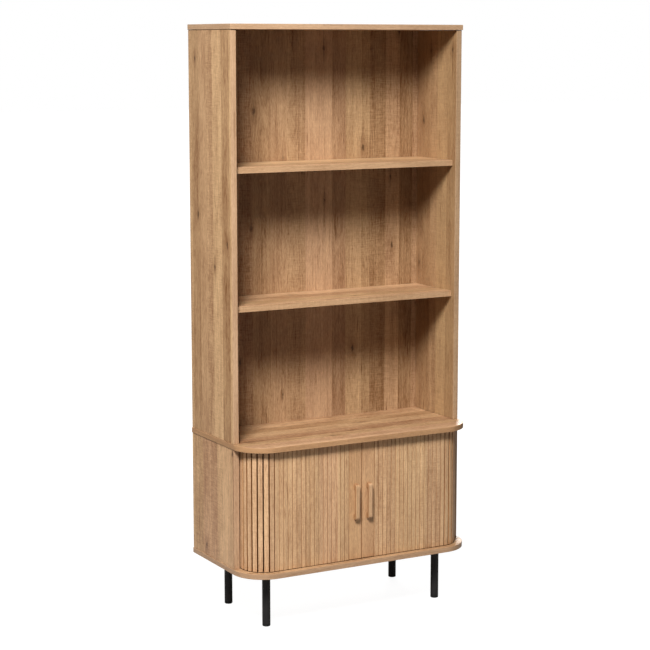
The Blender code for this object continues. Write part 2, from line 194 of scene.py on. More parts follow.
def plus(first, second):
    return calc(oak, "ADD", first, second)


def times_plus(first, second, added):
    return calc(oak, "MULTIPLY_ADD", first, second, added)


def around_zero(value, strength):
    """Turns noise from 0 to 1 into a push up or down of the given strength."""
    return times(calc(oak, "SUBTRACT", value, 0.5), strength)


def grain_noise(x, scale_across, scale_along, detail=2.0, roughness=0.55, shift=0.0):
    """Noise drawn out along the grain. The scales say how many blots there are to the metre."""
    at_x = times(x, scale_across)
    at_y = times(into, scale_across)
    at_z = times_plus(along, scale_along, shift)
    return noise(oak, combine(oak, at_x, at_y, at_z), detail, roughness)


def length_of(x, y):
    return calc(oak, "SQRT", times_plus(x, x, times(y, y)))


knot_x = calc(oak, "DIVIDE", across, KNOT_SPACING[0])
knot_z = calc(oak, "DIVIDE", along, KNOT_SPACING[1])
knot_map = {"Vector": combine(oak, knot_x, knot_z, 0.0), "Scale": 1.0}
knot_cell = node(oak, "ShaderNodeTexVoronoi", knot_map, voronoi_dimensions="2D")
knot_centre = split(oak, knot_cell.outputs["Position"])
knot_dx = times(calc(oak, "SUBTRACT", knot_x, knot_centre[0]), KNOT_SPACING[0])
knot_dz = times(calc(oak, "SUBTRACT", knot_z, knot_centre[1]), KNOT_SPACING[1])
knot_luck = node(oak, "ShaderNodeSeparateColor", {0: knot_cell.outputs["Color"]}).outputs
knot_here = times(calc(oak, "GREATER_THAN", knot_luck[0], KNOTLESS), given["Knots"])
knot_size = times_plus(knot_luck[1], KNOT_GROWTH, KNOT_SIZE)
ragged = around_zero(grain_noise(across, 210.0, 90.0), 0.009)
reach = length_of(knot_dx, times(knot_dz, KNOT_STRETCH))
reach = calc(oak, "DIVIDE", plus(reach, ragged), knot_size)
knot_core = times(ramp(oak, reach, 0.3, 1.3, 1.0, 0.0), knot_here)
knot_halo = times(ramp(oak, reach, 0.6, 5.0, 1.0, 0.0), knot_here)
crack_off = calc(oak, "ABSOLUTE", plus(knot_dx, times(ragged, 0.5)))
crack_end = times_plus(knot_luck[2], CRACK_GROWTH, CRACK_LENGTH)
crack_far = calc(oak, "DIVIDE", calc(oak, "ABSOLUTE", knot_dz), crack_end)
crack = times(ramp(oak, crack_off, 0.0004, 0.0020, 1.0, 0.0), ramp(oak, crack_far, 0.2, 1.0, 1.0, 0.0))
crack = times(crack, knot_here)

wander = around_zero(grain_noise(across, 2.5, 1.0), 0.003)
wobble = around_zero(grain_noise(across, 16.0, 7.0), 0.0016)
bend = times(times(knot_dx, knot_halo), -0.6)
grain_x = plus(plus(across, wander), plus(wobble, bend))
feather = around_zero(grain_noise(grain_x, 260.0, 4.0), 0.03)
plank_at = plus(calc(oak, "DIVIDE", grain_x, given["Plank Width"]), feather)
plank = node(oak, "ShaderNodeTexVoronoi", {"W": plank_at, "Scale": 1.0}, voronoi_dimensions="1D")
luck = node(oak, "ShaderNodeSeparateColor", {0: plank.outputs["Color"]}).outputs
plank_shift = times(luck[0], 17.0)

# %% The oak decor: streaks, rings, pores and colour
cloud = grain_noise(grain_x, 16.0, 5.0, shift=plank_shift)
streak = grain_noise(grain_x, 90.0, 2.5, 3.0, 0.60, plank_shift)
line = grain_noise(grain_x, 250.0, 3.0, 3.0, 0.65, plank_shift)
fibre = grain_noise(grain_x, 300.0, 60.0, 4.0, 0.70, plank_shift)
dash = ramp(oak, grain_noise(grain_x, 95.0, 6.0, 4.0, 0.65, plank_shift), 0.60, 0.76)
fleck = ramp(oak, grain_noise(grain_x, 330.0, 60.0, 1.0, 0.5, plank_shift), 0.60, 0.78)
pore = ramp(oak, grain_noise(grain_x, 950.0, 70.0, 0.0, 0.5, plank_shift), 0.62, 0.76)
saw = around_zero(grain_noise(across, 30.0, 260.0, 1.0), 1.0)
saw = times(saw, ramp(oak, luck[1], 0.35, 0.8))

ring_x = times(calc(oak, "SUBTRACT", plank_at, plank.outputs["W"]), given["Plank Width"])
ring_x = plus(ring_x, around_zero(luck[1], 0.05))
arch = calc(oak, "PINGPONG", times_plus(along, 0.8, plank_shift), 0.5)
ring_z = times(arch, 0.07)
ring_phase = times_plus(length_of(ring_x, ring_z), RING_WAVES, around_zero(cloud, 14.0))
ring = calc(oak, "POWER", times_plus(calc(oak, "SINE", ring_phase), 0.5, 0.5), 3.0)

lights_and_darks = [  # layers, and how much each lightens or darkens the wood
    (around_zero(cloud, 1.0), 0.60),
    (around_zero(streak, 1.0), 0.50),
    (around_zero(line, 1.0), 0.40),
    (around_zero(fibre, 1.0), 0.90),
    (saw, 0.46),
    (fleck, 0.14),
    (dash, -0.50),
    (pore, -0.16),
    (ring, -0.10),
]
grain = 0.06
for layer, strength in lights_and_darks:
    grain = times_plus(layer, strength, grain)
tone = times_plus(around_zero(luck[0], 0.52), given["Plank Contrast"], 0.5)
tone = times_plus(grain, given["Streak Contrast"], tone)
tone = calc(oak, "MINIMUM", calc(oak, "MAXIMUM", tone, 0.0), 1.1)
wood_colour = mix_colour(oak, tone, given["Dark Wood"], given["Light Wood"])
warmth = plus(times(luck[2], 0.7), times(cloud, 0.3))
warmth = times_plus(around_zero(warmth, 1.0), given["Hue Spread"], 0.5)
hue = mix_colour(oak, warmth, (1.025, 0.975, 1.045, 1), (0.98, 1.02, 0.94, 1))
wood_colour = mix_colour(oak, 1.0, wood_colour, hue, "MULTIPLY")
wood_colour = mix_colour(oak, times(knot_halo, 0.36), wood_colour, given["Dark Wood"])
stain = calc(oak, "MAXIMUM", times(knot_core, 0.8), times(crack, 0.6))
wood_colour = mix_colour(oak, stain, wood_colour, KNOT_BROWN)
feed(oak, result.inputs["Color"], wood_colour)
relief = times_plus(fibre, 0.6, times(line, 0.4))
relief = calc(oak, "SUBTRACT", relief, times(calc(oak, "MAXIMUM", pore, stain), 0.5))
feed(oak, result.inputs["Relief"], relief)
feed(oak, result.inputs["Sheen"], ramp(oak, streak, 0.3, 0.7))
print("oak decor:", len(oak.nodes), "nodes")

# %% [markdown]
# A laminated board shows the decor on its two faces, and a narrow edge band of a paler, quieter decor that runs
# lengthwise round its edges. One material makes both, by the direction that the surface faces. The grain stands
# upright in panels and lies along shelves. Each board is cut from another place of the same long sheet of decor.

# %% Wood materials
DECOR_STEP = 9.0  # boards a metre apart are cut this many metres apart across the sheet
UPPER_CUT = 8.990  # the upper side panels are cut this much further on than the lower ones
WOOD_GLOSS = 0.32
WOOD_ROUGHNESS = (0.35, 0.47)
WOOD_RELIEF = 0.00012  # metres
SPECKS = 140.0  # of bare hardboard, to the metre
BARE_BOARD = ((0.225, 0.122, 0.060, 1), (0.375, 0.218, 0.120, 1))  # dark and light specks of hardboard


def new_material(name):
    material = bpy.data.materials.new(name)
    material.use_nodes = True
    return material, material.node_tree, material.node_tree.nodes["Principled BSDF"]


def decor(tree, position, **values):
    """Places the oak group in a material with its own values."""
    made = tree.nodes.new("ShaderNodeGroup")
    made.node_tree = oak
    feed(tree, made.inputs["Grain Position"], position)
    for label, value in values.items():
        made.inputs[label.replace("_", " ")].default_value = value
    return made.outputs


def finish(tree, shader, colour, rough, gloss, height, strength, depth):
    """Gives a shader its colour, its gloss and a fine relief, whose depth is in metres."""
    raised = node(tree, "ShaderNodeBump", {"Strength": strength, "Distance": depth, "Height": height})
    fill(tree, shader, {"Base Color": colour, "Roughness": rough, "Specular IOR Level": gloss, "Normal": raised})


def finish_wood(tree, shader, colour, relief, sheen, gloss=WOOD_GLOSS, roughness=WOOD_ROUGHNESS):
    rough = ramp(tree, sheen, 0.0, 1.0, *roughness)
    finish(tree, shader, colour, rough, gloss, relief, 0.35, WOOD_RELIEF)


def blend(tree, factor, first, second):
    """Mixes two plain values."""
    return node(tree, "ShaderNodeMix", {0: factor, 2: first, 3: second})


def board_material(name, lie, face, band, cut=0.0, outer=None):
    """Wood for a flat board, which lies as a side, back or shelf. Cut is its place across the sheet of decor, in
    metres. Outer, where given, makes its face towards +X paler, back to the painted light of the sides, while its
    other faces keep their painted shade. The rear of a back is bare hardboard."""
    material, tree, shader = new_material(name)
    where = object_position(tree)
    x, y, z = split(tree, where)
    if lie == "side":
        upper = calc(tree, "GREATER_THAN", z, board_low.z)
        own = calc(tree, "MULTIPLY_ADD", upper, UPPER_CUT, calc(tree, "MULTIPLY_ADD", x, DECOR_STEP, cut))
        face_at = combine(tree, calc(tree, "ADD", y, own), x, z)
        band_at = combine(tree, x, 0.0, z)
        facing = (1.0, 0.0, 0.0)
    elif lie == "back":
        face_at = combine(tree, calc(tree, "ADD", x, cut), y, z)
        band_at = face_at
        facing = (0.0, 1.0, 0.0)
    else:
        face_at = combine(tree, calc(tree, "MULTIPLY_ADD", z, DECOR_STEP, y), z, x)
        band_at = combine(tree, z, 0.0, calc(tree, "ADD", x, y))
        facing = (0.0, 0.0, 1.0)
    normal = node(tree, "ShaderNodeNewGeometry").outputs["True Normal"]
    turned_to = node(tree, "ShaderNodeVectorMath", {0: normal, 1: facing}, operation="DOT_PRODUCT").outputs["Value"]
    is_face = ramp(tree, calc(tree, "ABSOLUTE", turned_to), 0.90, 0.95)
    on_face = decor(tree, face_at, **face)
    on_band = decor(tree, band_at, **band)
    colour = mix_colour(tree, is_face, on_band["Color"], on_face["Color"])
    relief = blend(tree, is_face, on_band["Relief"], on_face["Relief"])
    sheen = blend(tree, is_face, on_band["Sheen"], on_face["Sheen"])
    if lie == "back":
        mottle = ramp(tree, noise(tree, scaled(tree, where, SPECKS), 8.0, 0.72), 0.30, 0.70)
        hardboard = mix_colour(tree, mottle, *BARE_BOARD)
        colour = mix_colour(tree, calc(tree, "GREATER_THAN", turned_to, 0.5), colour, hardboard)
    # an outer face gets the sides' painted light, where the rest of the board has painted shade
    if outer:
        paler = mix_colour(tree, 1.0, colour, (*outer, 1), "MULTIPLY")
        colour = mix_colour(tree, calc(tree, "GREATER_THAN", turned_to, 0.5), colour, paler)
    finish_wood(tree, shader, colour, relief, sheen)
    return material


def tinted(values, tint):
    """The same decor, printed in another tone."""
    made = dict(values)
    for label in ("Light_Wood", "Dark_Wood"):
        made[label] = (*(a * b for a, b in zip(values[label], tint)), 1)
    return made


FACE = {"Plank_Width": 0.052, "Plank_Contrast": 1.0, "Streak_Contrast": 1.15, "Hue_Spread": 0.85}
FACE.update(Light_Wood=LIGHT_OAK, Dark_Wood=DARK_OAK)
BAND = {"Plank_Width": 0.25, "Plank_Contrast": 0.3, "Streak_Contrast": 1.3, "Hue_Spread": 0.2, "Knots": 0.0}
BAND.update(Light_Wood=(0.625, 0.41, 0.247, 1), Dark_Wood=(0.33, 0.19, 0.102, 1))
SIDE_LIGHT, INNER_SHADE = (1.13, 1.13, 1.11), (0.70, 0.69, 0.64)  # painted light on the side panels, and painted shade on the upper right one's inner face
LEFT_CUT, RIGHT_CUT, BACK_CUT = 36.374, 23.732, 15.278  # where the sheet has planks as wide as the real ones
side_wood = board_material("oak_upright", "side", tinted(FACE, SIDE_LIGHT), BAND, LEFT_CUT)
# The upper right side panel has painted shade on its inner face and edge band; its outer face gets the sides'
# painted light back.
SHADED_BAND = tinted(BAND, (0.91, 0.92, 0.91))
OUTER_LIGHT = tuple(warm / brown for warm, brown in zip(SIDE_LIGHT, INNER_SHADE))
shaded_side_wood = board_material("oak_upright_deep", "side", tinted(FACE, INNER_SHADE), SHADED_BAND, RIGHT_CUT, OUTER_LIGHT)
BACK_FACE = dict(tinted(FACE, (0.80, 0.81, 0.80)), Plank_Contrast=0.77)
back_wood = board_material("oak_back_panel", "back", BACK_FACE, BAND, BACK_CUT)
SHELF_FACE = tinted(FACE, (1.06, 1.08, 1.09))
top_wood = board_material("oak_top_board", "shelf", SHELF_FACE, BAND)
shelf_wood = board_material("oak_shelf", "shelf", SHELF_FACE, tinted(BAND, (1.01, 0.97, 0.91)))
middle_wood = board_material("oak_middle_board", "shelf", SHELF_FACE, tinted(BAND, (0.86, 0.75, 0.63)))
bottom_wood = board_material("oak_bottom_board", "shelf", SHELF_FACE, tinted(BAND, (0.86, 0.83, 0.82)))
print("board materials:", [m.name for m in bpy.data.materials if m.name.startswith("oak_")])

# %% [markdown]
# Each slat was cut from another place in the same decor, so neighbours differ in tone. Its rounded edges and its
# sides are painted darker, as shade in the gaps between the slats, and its sides have hardly any gloss. Two numbers
# are stored on slats as attributes when they are made, and read here: a slat's tone, and how deep a point lies
# behind its face. A handle is solid wood; its sides and ends are painted darker than its front, partly for the
# deeper tone of sawn wood and partly as painted shade.

# %% Materials for the slats, the stiles and the handles
SLAT_STEP = 31.0  # how far apart along the grain a light and a dark slat are cut, in metres
EDGE_SHADE_FROM, EDGE_SHADE_TO = 0.01, 0.06  # shares of a strip's thickness where its rounded edges turn to painted shade
GAP_SHADE_FROM, GAP_SHADE_TO = 0.10, 0.22  # and where its sides turn to painted shade
# the sides of a strip have hardly any gloss and are painted dark, as shade in the gaps between the slats
GAP_GLOSS = 0.04
GAP_SHADE = (0.16, 0.058, 0.012, 1)
EDGE_SHADE = (0.78, 0.59, 0.40, 1)  # painted shade on the rounded edges of a strip, next to the gaps: how much darker they are than its face


def strip_material(name, values, tone_spread, flank_tone_and_shade=(1.0, 1.0, 1.0), roughness=WOOD_ROUGHNESS):
    material, tree, shader = new_material(name)
    own = node(tree, "ShaderNodeAttribute", attribute_name="slat_tone").outputs["Fac"]
    x, y, z = split(tree, object_position(tree))
    position = combine(tree, x, y, calc(tree, "MULTIPLY_ADD", own, SLAT_STEP, z))
    wood = decor(tree, position, **values)
    shade = ramp(tree, own, 0.0, 1.0, 1.0 - tone_spread, 1.0)
    colour = mix_colour(tree, 1.0, wood["Color"], combine(tree, shade, shade, shade), "MULTIPLY")
    depth = node(tree, "ShaderNodeAttribute", attribute_name="slat_depth").outputs["Fac"]
    # painted shade: the rounded edges of a strip darken towards the gaps between slats
    shaded_edge = mix_colour(tree, 1.0, colour, EDGE_SHADE, "MULTIPLY")
    colour = mix_colour(tree, ramp(tree, depth, EDGE_SHADE_FROM, EDGE_SHADE_TO), colour, shaded_edge)
    # painted shade on the sides of a strip, in the gaps between slats
    colour = mix_colour(tree, ramp(tree, depth, GAP_SHADE_FROM, GAP_SHADE_TO), colour, GAP_SHADE)
    normal = node(tree, "ShaderNodeNewGeometry").outputs["True Normal"]
    outward = calc(tree, "ABSOLUTE", split(tree, normal)[1])
    # faces that don't face the front are darker: partly a deeper tone of sawn wood, partly painted shade
    toned_and_shaded_flanks = mix_colour(tree, 1.0, colour, (*flank_tone_and_shade, 1), "MULTIPLY")
    colour = mix_colour(tree, ramp(tree, outward, 0.35, 0.75), toned_and_shaded_flanks, colour)
    gloss = ramp(tree, depth, GAP_SHADE_FROM, GAP_SHADE_TO, WOOD_GLOSS, GAP_GLOSS)
    finish_wood(tree, shader, colour, wood["Relief"], wood["Sheen"], gloss, roughness)
    return material


STRIP = {"Plank_Width": 0.06, "Plank_Contrast": 0.3, "Streak_Contrast": 1.35, "Hue_Spread": 0.5, "Knots": 0.0}
STRIP.update(Light_Wood=(0.82, 0.525, 0.292, 1), Dark_Wood=(0.40, 0.21, 0.10, 1))
slat_wood = strip_material("oak_slat", tinted(STRIP, (0.955, 0.965, 0.98)), 0.13)
stile_wood = strip_material("oak_stile", tinted(STRIP, (0.84, 0.80, 0.77)), 0.0)
HANDLE = dict(STRIP, Hue_Spread=0.3, Light_Wood=(0.68, 0.425, 0.24, 1), Dark_Wood=(0.38, 0.21, 0.105, 1))
HANDLE_FLANK_TONE_AND_SHADE = (0.66, 0.57, 0.47)  # how much darker the sides and ends of a handle are painted than its front: partly the deeper tone of sawn wood, partly painted shade
handle_wood = strip_material("handle_oak", HANDLE, 0.0, flank_tone_and_shade=HANDLE_FLANK_TONE_AND_SHADE, roughness=(0.46, 0.56))

# %% [markdown]
# The legs are steel tubes with a black powder coat, which is very dark, a little glossy and slightly pebbled.
# The glides on their feet are moulded plastic, duller and smoother. The cloth behind the slats is plain canvas,
# whose weave is two sets of fine waves that cross; it is painted near black, as shade in the gaps between the
# slats.
# The screws are zinc-plated steel.

# %% Materials for steel, plastic, cloth and screws
CLOUD_SCALE = 40.0  # broad blots to the metre
COAT_GLOSS = 0.18


def speckled_material(name, dark, light, scale, roughness, metallic, depth):
    """A hard material whose colour, gloss and surface vary with fine noise."""
    material, tree, shader = new_material(name)
    where = object_position(tree)
    pebbles = noise(tree, scaled(tree, where, scale), 3.0, 0.6)
    broad = noise(tree, scaled(tree, where, CLOUD_SCALE))
    colour = mix_colour(tree, broad, dark, light)
    rough = ramp(tree, pebbles, 0.2, 0.8, *roughness)
    shader.inputs["Metallic"].default_value = metallic
    finish(tree, shader, colour, rough, COAT_GLOSS, pebbles, 0.4, depth)
    return material


COAT = ((0.0132, 0.0123, 0.0124, 1), (0.0205, 0.0192, 0.0194, 1))
PLASTIC = ((0.008, 0.008, 0.008, 1), (0.013, 0.013, 0.013, 1))
ZINC = ((0.42, 0.43, 0.44, 1), (0.6, 0.6, 0.58, 1))
powder_black = speckled_material("powder_coat_black", *COAT, 1500.0, (0.42, 0.56), 0.0, 0.0001)
glide_black = speckled_material("glide_plastic", *PLASTIC, 700.0, (0.5, 0.62), 0.0, 0.00004)
zinc = speckled_material("zinc_plate", *ZINC, 400.0, (0.28, 0.42), 1.0, 0.00002)

THREADS = 5200.0  # the threads' waves, in radians to the metre
canvas, tree, shader = new_material("canvas")
where = object_position(tree)
x, y, z = split(tree, where)
weft = calc(tree, "SINE", calc(tree, "MULTIPLY", z, THREADS))
warp = calc(tree, "SINE", calc(tree, "MULTIPLY", calc(tree, "ADD", x, y), THREADS))
weave = calc(tree, "MULTIPLY", weft, warp)
cloth_tone = calc(tree, "MULTIPLY_ADD", weave, 0.22, noise(tree, scaled(tree, where, 320.0), 3.0))
# the canvas is near black: painted shade for the gaps between the slats, where it shows
canvas_colour = mix_colour(tree, cloth_tone, (0.035, 0.022, 0.014, 1), (0.075, 0.050, 0.034, 1))
finish(tree, shader, canvas_colour, 0.9, 0.5, weave, 0.5, 0.0002)
print("hard materials and canvas made")

# %% [markdown]
# The flat boards are already right in the CAD model, with their grooves and chamfers. Only a better material goes
# into each object's own slot.

# %% Dress the CAD boards
DRESSED = (
    (side_wood, ("upper_side_left", "lower_side_left", "lower_side_right", "liner_left", "liner_right")),
    (shaded_side_wood, ("upper_side_right",)),
    (back_wood, ("upper_back", "lower_back")),
    (top_wood, ("top_board",)),
    (shelf_wood, ("shelf_lower", "shelf_upper")),
)
for material, names in DRESSED:
    for name in names:
        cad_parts[name].material_slots[0].material = material
    print(material.name, "on", *names)

# %% [markdown]
# The other pieces are made here. Each ends as a plain mesh whose object sits at the origin, so that patterns stay
# put. Rounded edges come from a Bevel modifier. Weighted Normal keeps flat faces flat to the eye, while the
# rounded edges shade softly.

# %% Helpers for meshes
def to_object(name, mesh):
    made = bpy.data.objects.new(name, mesh)
    bpy.context.scene.collection.objects.link(made)
    return made


def evaluated_mesh(obj):
    graph = bpy.context.evaluated_depsgraph_get()
    return bpy.data.meshes.new_from_object(obj.evaluated_get(graph), depsgraph=graph)


def remove(*objects):
    for obj in objects:
        bpy.data.objects.remove(obj)


def close_up(shape, mesh, flatten=False):
    """Merges the points that coincide, turns the faces outwards, writes the mesh and returns its volume."""
    bmesh.ops.remove_doubles(shape, verts=shape.verts, dist=1e-6)
    if flatten:
        bmesh.ops.dissolve_limit(shape, angle_limit=0.001, verts=shape.verts, edges=shape.edges)
    bmesh.ops.recalc_face_normals(shape, faces=shape.faces)
    volume = shape.calc_volume()
    shape.to_mesh(mesh)
    shape.free()
    return volume


def draw(name, points, height, closed):
    """A curve of straight strokes through these points, all at one height."""
    curve = bpy.data.curves.new(name, "CURVE")
    curve.dimensions = "2D" if closed else "3D"
    spline = curve.splines.new("POLY")
    spline.points.add(len(points) - 1)
    for point, (x, y) in zip(spline.points, points):
        point.co = (x, y, height, 1)
    spline.use_cyclic_u = closed
    return to_object(name, curve)


def outline_prism(name, outline, low, high):
    """A closed flat outline, filled and extruded from low to high along Z."""
    drawn = draw(name, outline, 0, True)
    drawn.data.fill_mode = "BOTH"
    drawn.data.extrude = (high - low) / 2
    mesh = evaluated_mesh(drawn)
    remove(drawn)
    mesh.transform(Matrix.Translation((0, 0, (low + high) / 2)))
    shape = bmesh.new()
    shape.from_mesh(mesh)
    close_up(shape, mesh, flatten=True)
    return mesh


def round_edges(obj, width, segments=3):
    bevel = obj.modifiers.new("rounded edges", "BEVEL")
    bevel.width = width
    bevel.segments = segments
    bevel.limit_method = "ANGLE"
    bevel.angle_limit = math.radians(50)


def cut(obj, cutter):
    boolean = obj.modifiers.new("cut", "BOOLEAN")
    boolean.operation = "DIFFERENCE"
    boolean.solver = "EXACT"
    boolean.object = cutter


def settle(obj, material, sharp_angle=35):
    """Applies the modifiers, closes the normals outwards and shades smooth up to an angle."""
    mesh = evaluated_mesh(obj)
    obj.modifiers.clear()
    obj.data = mesh
    mesh.name = obj.name
    shape = bmesh.new()
    shape.from_mesh(mesh)
    volume = close_up(shape, mesh)
    if material:
        mesh.materials.clear()
        mesh.materials.append(material)
    mesh.shade_smooth()
    mesh.set_sharp_from_angle(angle=math.radians(sharp_angle))
    weighted = obj.modifiers.new("flat faces stay flat", "WEIGHTED_NORMAL")
    weighted.keep_sharp = True
    print(obj.name, "faces:", len(mesh.polygons), "cubic cm:", round(volume * 1e6, 2))
    return obj


def fit(obj, body, slot, *nodes):
    """The piece rides on its body and stands for CAD nodes, which are hidden. The slot is not used."""
    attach(obj, body)
    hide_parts(*nodes)


# %% [markdown]
# The middle and bottom boards have quarter-round front corners, drawn as arcs of many short sides. Two cuts are
# made in each, as with a router: a U-shaped track for the ends of the slats, and the groove for the back panel.

# %% Rounded boards with their tracks
CORNER_RADIUS = 0.100
CORNER_STEPS = 40
CURTAIN_INSET = 0.022  # slat faces behind the front edge of the boards
TURN_INSET = 0.026  # slat faces behind the side edges of the boards, clear of the side panels
SLAT_THICKNESS = 0.012
CLOTH_THICKNESS = 0.001
TRACK_CLEARANCE = 0.001
TRACK_DEPTH = 0.006
GROOVE_GAP = 0.0003  # room round a back panel in its groove
TRACK_END = 0.003  # the track stops this far in front of the lower back panel
BOARD_EDGE = 0.0010
corner_x = board_high.x - CORNER_RADIUS
corner_y = board_low.y + CORNER_RADIUS
turn_radius = CORNER_RADIUS - TURN_INSET  # faces of the slats round the corner
turn_y = board_low.y + CURTAIN_INSET + turn_radius
line_radius = turn_radius - SLAT_THICKNESS - CLOTH_THICKNESS / 2  # the middle of the cloth


def arc(centre, radius, start, end, steps):
    """Points on an arc from one angle to another, in degrees."""
    angles = [math.radians(start + (end - start) * i / steps) for i in range(steps + 1)]
    return [(centre[0] + radius * math.cos(a), centre[1] + radius * math.sin(a)) for a in angles]


def rounded_outline(radius, middle_y, rear):
    """A U with quarter-round front corners about this middle line, open to the rear line."""
    left = arc((-corner_x, middle_y), radius, 180, 270, CORNER_STEPS)
    right = arc((corner_x, middle_y), radius, 270, 360, CORNER_STEPS)
    return [(-corner_x - radius, rear), *left, *right, (corner_x + radius, rear)]


def room_for(low, high, gap):
    """A box a little larger than the one from low to high, to cut room for it."""
    sides = [(low.x - gap, low.y - gap), (high.x + gap, low.y - gap)]
    sides += [(high.x + gap, high.y + gap), (low.x - gap, high.y + gap)]
    return to_object("groove_cut", outline_prism("groove_cut", sides, low.z - gap, high.z + gap))


track_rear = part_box("lower_back")[0].y - TRACK_END
track_band = rounded_outline(turn_radius + TRACK_CLEARANCE, turn_y, track_rear)
track_band += rounded_outline(line_radius - CLOTH_THICKNESS / 2 - TRACK_CLEARANCE, turn_y, track_rear)[::-1]
for name, material in (("middle_board", middle_wood), ("bottom_board", bottom_wood)):
    low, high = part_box(name)
    outline = rounded_outline(CORNER_RADIUS, corner_y, high.y)
    board = to_object("rounded_" + name, outline_prism(name, outline, low.z, high.z))
    round_edges(board, BOARD_EDGE)
    track_z = low.z if name == "middle_board" else high.z
    track = outline_prism("track_cut", track_band, track_z - TRACK_DEPTH, track_z + TRACK_DEPTH)
    cutters = [to_object("track_cut", track)]
    for panel in ("lower_back", "upper_back"):
        inner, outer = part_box(panel)
        if inner.z < high.z and outer.z > low.z:
            cutters.append(room_for(inner, outer, GROOVE_GAP))
    for cutter in cutters:
        cut(board, cutter)
    settle(board, material)
    remove(*cutters)
    fit(board, "cabinet", "oak_board", name)

# %% [markdown]
# Each door is led by a stile, a flat board as wide as three slats. Its ends are thinner tongues that run in the
# track, and its shoulders end just clear of the boards, which leaves a fine dark line above and below the door.
# It is drawn from the side and extruded across its width.

# %% Stiles
UPRIGHT = Matrix(((0, 0, 1, 0), (0, -1, 0, 0), (1, 0, 0, 0), (0, 0, 0, 1)))  # drawn X goes up, drawn Y to the front
STILE_EDGE = 0.0010
TONGUE_BACK = 0.004  # tongue faces behind the faces of the stile and the slats
TONGUE_THICKNESS = 0.007
SHOULDER_GAP = 0.0015  # from the shoulders of the stile and the slats to the boards
STILE_TRIM = 0.0004  # taken off each side of the stile
cupboard_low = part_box("bottom_board")[1].z
cupboard_high = board_low.z
opening = cupboard_high - cupboard_low
stile_low, stile_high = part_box("stile_left")
tongue_height = stile_high.z - stile_low.z


def stand_up(mesh, x, y, z):
    """Turns a profile drawn with X up and Y to the front so that it stands at this place."""
    mesh.transform(Matrix.Translation((x, y, z)) @ UPRIGHT)
    return mesh


for side in ("left", "right"):
    low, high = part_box("stile_" + side)
    middle = (low + high) / 2
    tip = (high.z - low.z) / 2
    shoulder = opening / 2 - SHOULDER_GAP
    thick = high.y - low.y
    near, far = -TONGUE_BACK, -TONGUE_BACK - TONGUE_THICKNESS
    upper = [(shoulder, 0), (shoulder, near), (tip, near), (tip, far), (shoulder, far), (shoulder, -thick)]
    profile = [(-shoulder, 0), *upper, *[(-x, y) for x, y in upper[:0:-1]]]
    half = (high.x - low.x) / 2 - STILE_TRIM
    mesh = stand_up(outline_prism("door_stile_" + side, profile, -half, half), middle.x, low.y, middle.z)
    stile = to_object("door_stile_" + side, mesh)
    round_edges(stile, STILE_EDGE)
    settle(stile, stile_wood)
    depth = stile.data.attributes.new("slat_depth", "FLOAT", "POINT")
    depth.data.foreach_set("value", [(vertex.co.y - low.y) / thick for vertex in stile.data.vertices])
    fit(stile, "door_" + side, "oak_slats", "stile_" + side)

# %% [markdown]
# The handle is an upright bar on two short feet, with room for a fingertip behind it. Drawn from the side it is
# one outline, with rounded outer corners and the finger gap between the feet.

# %% Handles
HANDLE_END_RADIUS = 0.008
HANDLE_FOOT = 0.017
FINGER_GAP_DEPTH = 0.0075
FINGER_GAP_RADIUS = 0.006
HANDLE_EDGE = 0.0016
for side in ("left", "right"):
    low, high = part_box("handle_" + side)
    middle = (low + high) / 2
    half = (high.z - low.z) / 2
    proud = high.y - low.y
    end = HANDLE_END_RADIUS
    gap_half = half - HANDLE_FOOT
    gap_centre = FINGER_GAP_DEPTH - FINGER_GAP_RADIUS
    profile = [(half, 0)]
    profile += arc((half - end, proud - end), end, 0, 90, 14)
    profile += arc((-half + end, proud - end), end, 90, 180, 14)
    profile += [(-half, 0), (-gap_half, 0)]
    profile += arc((-gap_half + FINGER_GAP_RADIUS, gap_centre), FINGER_GAP_RADIUS, 180, 90, 10)
    profile += arc((gap_half - FINGER_GAP_RADIUS, gap_centre), FINGER_GAP_RADIUS, 90, 0, 10)
    profile += [(gap_half, 0)]
    width = (high.x - low.x) / 2
    mesh = stand_up(outline_prism("door_handle_" + side, profile, -width, width), middle.x, high.y, middle.z)
    handle = to_object("door_handle_" + side, mesh)
    round_edges(handle, HANDLE_EDGE, 4)
    settle(handle, handle_wood)
    fit(handle, "door_" + side, "handle_wood", "handle_" + side)

# %% [markdown]
# A tambour curtain follows a rule: the same slat again and again, a fixed step apart, along a line that runs
# across the front, round the corner and back beside the side panel. Geometry Nodes say exactly that. A drawn
# line is sampled at each slat's middle, an instance of one slat is turned to the line there, and a strip of
# cloth follows the same stretch of the line. One tree makes every stretch, from its named inputs.

# %% The tambour tree: one slat
tambour, given, result = node_group(
    "tambour_curtain",
    "GeometryNodeTree",
    [
        ("Line", "Geometry", None),
        ("Slats", "Int", 17),
        ("Slat Pitch", "Float", 0.015),
        ("Slat Width", "Float", 0.0134),
        ("Slat Thickness", "Float", 0.012),
        ("Slat Height", "Float", 0.367),
        ("Edge Radius", "Float", 0.0011),
        ("Tongue Back", "Float", 0.004),
        ("Tongue Thickness", "Float", 0.007),
        ("Tongue Height", "Float", 0.38),
        ("Start", "Float", 0.0),
        ("Cloth Thickness", "Float", 0.001),
        ("Cloth Height", "Float", 0.35),
        ("Seed", "Int", 1),
        ("Slat Material", "Material", None),
        ("Cloth Material", "Material", None),
    ],
    [("Curtain", "Geometry")],
)


def up(value):
    return combine(tambour, 0.0, 0.0, value)


def join(first, second):
    both = node(tambour, "GeometryNodeJoinGeometry", {0: first})
    feed(tambour, both.inputs[0], second)
    return both


def store(geometry, name, value):
    """Stores a value on each point, for a material to read."""
    inputs = {"Geometry": geometry, "Name": name, "Value": value}
    return node(tambour, "GeometryNodeStoreNamedAttribute", inputs, data_type="FLOAT", domain="POINT")


